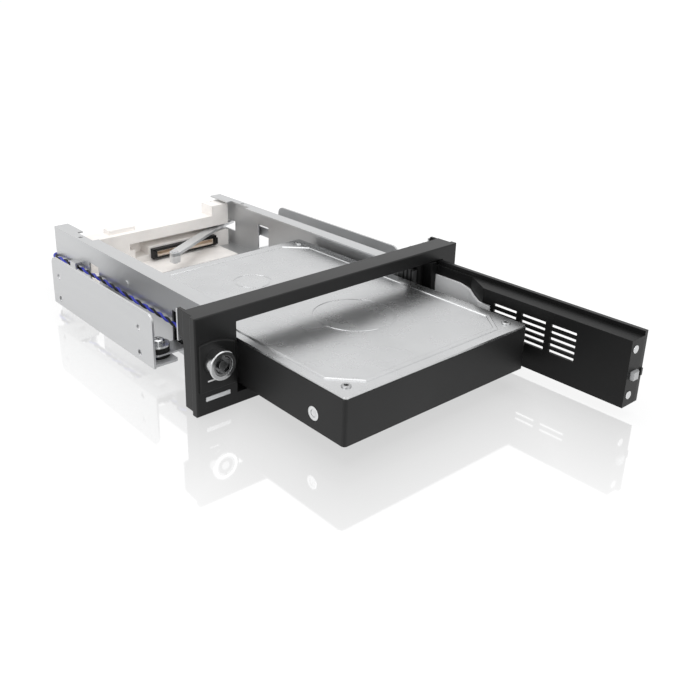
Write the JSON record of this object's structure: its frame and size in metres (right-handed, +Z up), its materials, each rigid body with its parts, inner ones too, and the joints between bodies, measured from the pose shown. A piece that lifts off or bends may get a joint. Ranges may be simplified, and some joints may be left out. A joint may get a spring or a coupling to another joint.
{
  "type": "hard drive mobile rack",
  "caption": "Trayless drive rack for a desktop bay: black bezel with lock and open side-hinged door, steel cage on rubber dampers, ejector lever and a drive pulled partly out.",
  "frame": {"origin": "middle of the flat underside of the bezel", "axes": "+X to the right seen from the front, +Y back into the bay, +Z up"},
  "size_m": [0.1494, 0.2836, 0.0424],
  "materials": {
    "bezel_black": "satin black, fine grain",
    "inner_black": "matt black",
    "door_black": "satin black, fine grain",
    "cage_steel": "bright zinc-plated sheet",
    "plate_steel": "bright zinc-plated sheet",
    "rubber": "soft black rubber",
    "washer_steel": "bright",
    "screw_steel": "bright zinc",
    "pin_steel": "bright",
    "strip_steel": "bright sheet",
    "latch_silver": "dull silver",
    "spring_steel": "spring wire",
    "white_plastic": "white nylon",
    "cream_plastic": "cream nylon",
    "board_green": "circuit board",
    "socket_black": "black",
    "insert_beige": "beige with gilt contacts",
    "lock_chrome": "polished",
    "plug_chrome": "polished",
    "cam_steel": "zinc plated",
    "clear_window": "clear, slightly smoked",
    "led_clear": "clear",
    "wire_blue": "blue and black insulation",
    "drive_black": "black coated casting",
    "drive_silver": "satin pressed lid",
    "lid_screw": "bright"
  },
  "bodies": {
    "rack": {"bezel": "bezel_black", "drive_guide": "inner_black", "cage": "cage_steel", "side_plate_left": "plate_steel", "side_plate_right": "plate_steel", "dampers": "rubber", "damper_washers": "washer_steel", "damper_screws": "screw_steel", "clinch_nuts": "screw_steel", "bezel_screws": "screw_steel", "hinge_pins": "pin_steel", "rod_guides": "inner_black", "lever_pivot": "pin_steel", "backplane_holder": "cream_plastic", "backplane_board": "board_green", "board_screws": "screw_steel", "drive_socket": "socket_black", "socket_insert": "insert_beige", "rear_power_socket": "white_plastic", "rear_data_socket": "socket_black", "wire_header": "white_plastic", "lock_barrel": "lock_chrome", "lock_nut": "cam_steel", "led_window": "clear_window", "led_board": "board_green", "status_leds": "led_clear", "signal_wires": "wire_blue"},
    "drive": {"drive_base": "drive_black", "drive_lid": "drive_silver", "lid_screws": "lid_screw", "drive_board": "board_green", "drive_plug": "socket_black"},
    "door": {"door_panel": "door_black", "door_tray": "inner_black", "door_screws": "screw_steel", "door_strip": "strip_steel", "crank_pin": "pin_steel", "latch_spring": "spring_steel"},
    "latch": {"latch_bolt": "latch_silver"},
    "rod": {"push_rod": "strip_steel"},
    "lever": {"eject_lever": "strip_steel", "lever_pins": "pin_steel"},
    "roller": {"eject_roller": "white_plastic"},
    "lock_core": {"lock_plug": "plug_chrome", "lock_cam": "cam_steel", "cam_screw": "screw_steel"}
  },
  "joints": [
    {"name": "drive_slide", "type": "slide", "parent": "rack", "child": "drive", "axis": [0, 1, 0], "range_m": [0, 0.07]},
    {"name": "door_hinge", "type": "hinge", "parent": "rack", "child": "door", "pos_m": [0.057, 0.0028, 0], "axis": [0, 0, -1], "range_deg": [0, 18]},
    {"name": "rod_slide", "type": "slide", "parent": "rack", "child": "rod", "axis": [0, -1, 0], "range_m": [0, 0.006]},
    {"name": "lever_hinge", "type": "hinge", "parent": "rack", "child": "lever", "pos_m": [0.0465, 0.1558, 0], "axis": [0, 0, -1], "range_deg": [0, 30.4]},
    {"name": "roller_spin", "type": "hinge", "parent": "lever", "child": "roller", "pos_m": [-0.00189, 0.12741, 0], "axis": [0, 0, 1], "continuous": true},
    {"name": "latch_press", "type": "slide", "parent": "door", "child": "latch", "axis": [0, 1, 0], "range_m": [0, 0.001], "stiffness_N_per_m": 600, "deforming": ["latch_spring"]},
    {"name": "lock_turn", "type": "hinge", "parent": "rack", "child": "lock_core", "pos_m": [-0.0656, 0, 0.0225], "axis": [0, -1, 0], "range_deg": [0, 90]}
  ],
  "couplings": [
    {"joint": "door_hinge", "follows": "drive_slide", "rad_per_m": 4.488},
    {"joint": "rod_slide", "follows": "drive_slide", "ratio": 0.085714},
    {"joint": "lever_hinge", "follows": "drive_slide", "rad_per_m": 7.5797}
  ]
}
